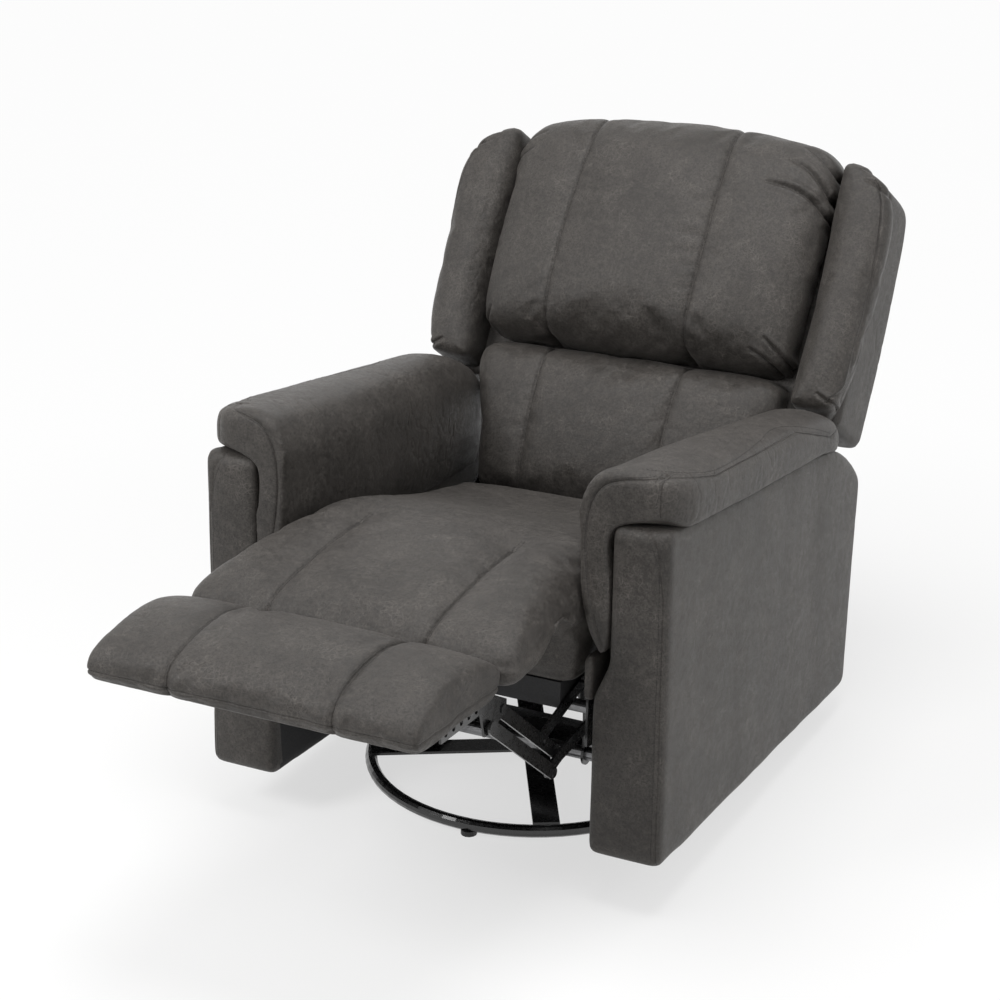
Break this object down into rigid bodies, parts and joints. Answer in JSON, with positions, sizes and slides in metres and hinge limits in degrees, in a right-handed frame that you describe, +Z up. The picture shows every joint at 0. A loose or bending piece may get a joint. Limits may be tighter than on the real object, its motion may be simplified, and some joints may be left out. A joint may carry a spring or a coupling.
{
  "type": "swivel glider recliner",
  "caption": "Upholstered recliner on a round swivel base with a gliding seat, a fold-out footrest, a reclining back and padded arms.",
  "frame": {"origin": "on the floor, under the middle of the chair's box with the footrest out", "axes": "+Z up, -Y towards the front of the chair, +X towards the sitter's left"},
  "size_m": [0.862, 1.6702, 1.0449],
  "materials": {
    "upholstery": "brushed microfibre that looks like worn suede, charcoal brown, mottled",
    "black_steel": "gloss black paint",
    "bright_steel": "zinc plated",
    "timber": "raw sawn softwood and plywood",
    "lining": "black non-woven dust cloth over board",
    "black_plastic": "moulded, fine texture"
  },
  "bodies": {
    "base": {"base_ring": "black_steel", "base_cross": "black_steel", "base_glide_1": "black_plastic", "base_glide_2": "black_plastic", "base_glide_3": "black_plastic", "base_glide_4": "black_plastic", "swivel_bearing": "black_steel"},
    "stand": {"turn_plate": "black_steel", "swivel_spindle": "bright_steel", "glide_stand_left": "black_steel", "glide_stand_right": "black_steel"},
    "front_swing": {"glide_link_front_left": "black_steel", "glide_link_front_right": "black_steel"},
    "rear_swing": {"glide_link_rear_left": "black_steel", "glide_link_rear_right": "black_steel"},
    "seat_unit": {"carriage_tube_front": "bright_steel", "carriage_tube_rear": "bright_steel", "side_plate_left": "black_steel", "side_plate_right": "black_steel", "arm_cover_left": "upholstery", "arm_cover_right": "upholstery", "arm_board_left": "timber", "arm_board_right": "timber", "arm_pad_left": "upholstery", "arm_pad_right": "upholstery", "arm_inner_panel_left": "upholstery", "arm_inner_panel_right": "upholstery", "seat_frame": "lining", "seat_spring_1": "bright_steel", "seat_spring_2": "bright_steel", "seat_spring_3": "bright_steel", "seat_spring_4": "bright_steel", "seat_cushion": "upholstery", "rear_panel": "lining", "release_cup": "black_plastic"},
    "pull": {"release_pull": "black_plastic"},
    "drive": {"drive_tube": "bright_steel", "drive_link_left": "black_steel", "drive_link_right": "black_steel"},
    "upper_bars": {"upper_link_left": "black_steel", "upper_link_right": "black_steel"},
    "lower_bars": {"lower_link_left": "black_steel", "lower_link_right": "black_steel"},
    "guide_bars": {"guide_link_left": "black_steel", "guide_link_right": "black_steel"},
    "footrest": {"footrest_bracket_left": "black_steel", "footrest_bracket_right": "black_steel", "footrest_board": "lining", "footrest_pad": "upholstery"},
    "bridge": {"bridge_pad": "upholstery", "bridge_board": "lining"},
    "back": {"back_frame": "timber", "hinge_bracket_left": "black_steel", "hinge_bracket_right": "black_steel", "lumbar_cushion": "upholstery", "head_pillow": "upholstery", "wing_left": "upholstery", "wing_right": "upholstery", "back_shell": "upholstery"}
  },
  "joints": [
    {"name": "swivel", "type": "hinge", "parent": "base", "child": "stand", "pos_m": [0, 0.07546, 0.04], "axis": [0, 0, 1], "continuous": true},
    {"name": "glide", "type": "hinge", "parent": "stand", "child": "front_swing", "pos_m": [0, -0.03454, 0.226], "axis": [1, 0, 0], "range_deg": [-15, 15]},
    {"name": "glide_rear", "type": "hinge", "parent": "stand", "child": "rear_swing", "pos_m": [0, 0.18546, 0.226], "axis": [1, 0, 0], "range_deg": [-15, 15]},
    {"name": "glide_level", "type": "hinge", "parent": "front_swing", "child": "seat_unit", "pos_m": [0, -0.03454, 0.098], "axis": [1, 0, 0], "range_deg": [-15, 15]},
    {"name": "footrest_fold", "type": "hinge", "parent": "seat_unit", "child": "drive", "pos_m": [0, -0.19293, 0.27083], "axis": [1, 0, 0], "range_deg": [0, 90]},
    {"name": "upper_bar_turn", "type": "hinge", "parent": "drive", "child": "upper_bars", "pos_m": [0, -0.34253, 0.25988], "axis": [1, 0, 0], "range_deg": [-115, 0]},
    {"name": "lower_bar_turn", "type": "hinge", "parent": "drive", "child": "lower_bars", "pos_m": [0, -0.38802, 0.24987], "axis": [1, 0, 0], "range_deg": [-115, 0]},
    {"name": "guide_bar_turn", "type": "hinge", "parent": "seat_unit", "child": "guide_bars", "pos_m": [0, -0.23472, 0.33372], "axis": [1, 0, 0], "range_deg": [0, 88]},
    {"name": "footrest_turn", "type": "hinge", "parent": "upper_bars", "child": "footrest", "pos_m": [0, -0.54349, 0.42536], "axis": [1, 0, 0], "range_deg": [0, 115]},
    {"name": "bridge_fold", "type": "hinge", "parent": "seat_unit", "child": "bridge", "pos_m": [0, -0.38456, 0.51147], "axis": [1, 0, 0], "range_deg": [0, 90]},
    {"name": "recline", "type": "hinge", "parent": "seat_unit", "child": "back", "pos_m": [0, 0.32514, 0.3752], "axis": [-1, 0, 0], "range_deg": [-8, 20]},
    {"name": "release", "type": "hinge", "parent": "seat_unit", "child": "pull", "pos_m": [-0.4153, -0.13983, 0.38591], "axis": [0, -0.999, 0.0439], "range_deg": [0, 25], "stiffness_Nm_per_rad": 0.4}
  ],
  "couplings": [
    {"joint": "glide_rear", "follows": "glide", "ratio": 1},
    {"joint": "glide_level", "follows": "glide", "ratio": -1},
    {"joint": "upper_bar_turn", "follows": "footrest_fold", "ratio": -1.2646},
    {"joint": "lower_bar_turn", "follows": "footrest_fold", "ratio": -1.2646},
    {"joint": "footrest_turn", "follows": "footrest_fold", "ratio": 1.2646},
    {"joint": "guide_bar_turn", "follows": "footrest_fold", "ratio": 0.9633},
    {"joint": "bridge_fold", "follows": "footrest_fold", "ratio": 1}
  ]
}
